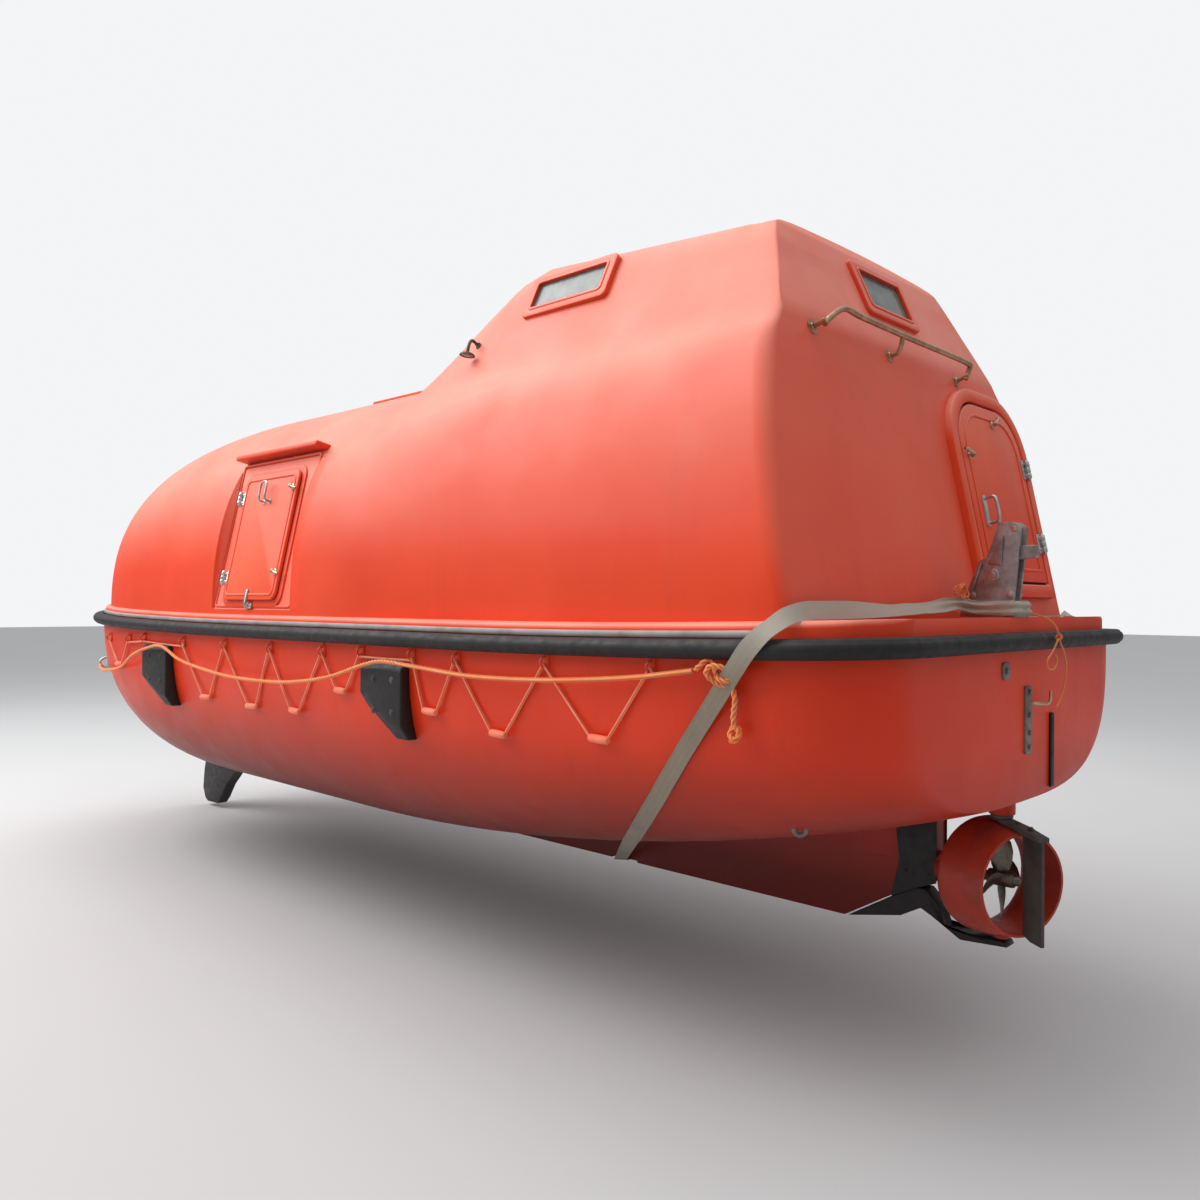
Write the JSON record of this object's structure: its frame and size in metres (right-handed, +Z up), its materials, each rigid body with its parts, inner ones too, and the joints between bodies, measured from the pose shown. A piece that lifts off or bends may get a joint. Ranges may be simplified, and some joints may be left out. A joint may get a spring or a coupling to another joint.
{
  "type": "lifeboat",
  "caption": "Totally enclosed lifeboat with a raised steering tower aft, hinged hatches and door, a turning nozzle round the propeller, release hooks, fender, lifelines and belly strap.",
  "frame": {"origin": "on the centreline amidships, at the waterline", "axes": "+X to the bow, +Y to port, +Z up"},
  "size_m": [6.5923, 2.4708, 2.9831],
  "materials": {
    "hull_gelcoat": "glossy red-orange gelcoat on laminate",
    "canopy_gelcoat": "glossy red-orange gelcoat on laminate",
    "fender_rubber": "extruded black rubber, satin",
    "strip_vinyl": "pale grey moulding",
    "black_rubber": "black rubber and paint, matt",
    "nozzle_paint": "dull red paint",
    "dark_steel": "dark painted steel",
    "propeller_bronze": "dull bronze",
    "fitting_steel": "stainless steel",
    "lamp_housing": "lamp with a pale dome",
    "strap_webbing": "woven webbing, worn",
    "orange_rope": "orange fibre rope",
    "engine_paint": "grey-green enamel",
    "console_plastic": "pale grey moulding",
    "seat_vinyl": "black vinyl",
    "wheel_plastic": "black rim on steel spokes",
    "window_glass": "dark clear pane"
  },
  "bodies": {
    "boat": {"aft_handrail": "fitting_steel", "aft_hook_block": "fitting_steel", "belly_strap": "strap_webbing", "canopy": "canopy_gelcoat", "engine_block": "engine_paint", "fore_hook_block": "fitting_steel", "gunwale_strip": "strip_vinyl", "helm_console": "console_plastic", "helm_seat": "seat_vinyl", "hull": "hull_gelcoat", "keel_foot": "black_rubber", "painter_rope": "orange_rope", "port_after_block": "black_rubber", "port_bow_eye": "fitting_steel", "port_fore_block": "black_rubber", "port_lifeline": "orange_rope", "rubber_fender": "fender_rubber", "sole_piece": "black_rubber", "starboard_after_block": "black_rubber", "starboard_bow_eye": "fitting_steel", "starboard_fore_block": "black_rubber", "starboard_lifeline": "orange_rope", "tower_lamp": "lamp_housing", "transom_plate": "fitting_steel", "transom_strip": "black_rubber", "window_aft": "window_glass", "window_front": "window_glass", "window_port": "window_glass", "window_starboard": "window_glass"},
    "port_side_hatch": {"port_hatch": "canopy_gelcoat"},
    "starboard_side_hatch": {"starboard_hatch": "canopy_gelcoat"},
    "aft_door_leaf": {"aft_door": "canopy_gelcoat"},
    "roof_hatch_lid": {"roof_hatch": "canopy_gelcoat"},
    "nozzle": {"steering_nozzle": "nozzle_paint", "steering_stock": "dark_steel"},
    "screw": {"propeller": "propeller_bronze", "propeller_shaft": "fitting_steel"},
    "wheel": {"steering_wheel": "wheel_plastic"},
    "aft_claw": {"aft_hook_claw": "fitting_steel"},
    "fore_claw": {"fore_hook_claw": "fitting_steel"}
  },
  "joints": [
    {"name": "propeller_spin", "type": "hinge", "parent": "boat", "child": "screw", "pos_m": [-3.085, 0, -0.37], "axis": [1, 0, 0], "continuous": true},
    {"name": "nozzle_steer", "type": "hinge", "parent": "boat", "child": "nozzle", "pos_m": [-3.085, 0, -0.37], "axis": [0, 0, 1], "range_deg": [-9.4, 60.6]},
    {"name": "wheel_turn", "type": "hinge", "parent": "boat", "child": "wheel", "pos_m": [-1.43, 0, 1], "axis": [1, 0, 0], "range_deg": [-122, 781]},
    {"name": "port_hatch_swing", "type": "hinge", "parent": "boat", "child": "port_side_hatch", "pos_m": [0.512, 1.08056, 0.91411], "axis": [0, 0.213, -0.977], "range_deg": [0, 105]},
    {"name": "starboard_hatch_swing", "type": "hinge", "parent": "boat", "child": "starboard_side_hatch", "pos_m": [0.512, -1.08056, 0.91411], "axis": [0, 0.213, 0.977], "range_deg": [0, 105]},
    {"name": "aft_door_swing", "type": "hinge", "parent": "boat", "child": "aft_door_leaf", "pos_m": [-2.84837, -0.912, 1.04754], "axis": [0.2057, 0, 0.9786], "range_deg": [0, 105]},
    {"name": "roof_hatch_lift", "type": "hinge", "parent": "boat", "child": "roof_hatch_lid", "pos_m": [0.492, 0, 1.749], "axis": [0, 1, 0], "range_deg": [0, 100]},
    {"name": "aft_hook_release", "type": "hinge", "parent": "boat", "child": "aft_claw", "pos_m": [-3.065, 0, 0.69843], "axis": [0, -1, 0], "range_deg": [0, 50]},
    {"name": "fore_hook_release", "type": "hinge", "parent": "boat", "child": "fore_claw", "pos_m": [2.98, 0, 0.72868], "axis": [0, 1, 0], "range_deg": [0, 50]}
  ],
  "couplings": [
    {"joint": "wheel_turn", "follows": "nozzle_steer", "ratio": 12.86}
  ]
}
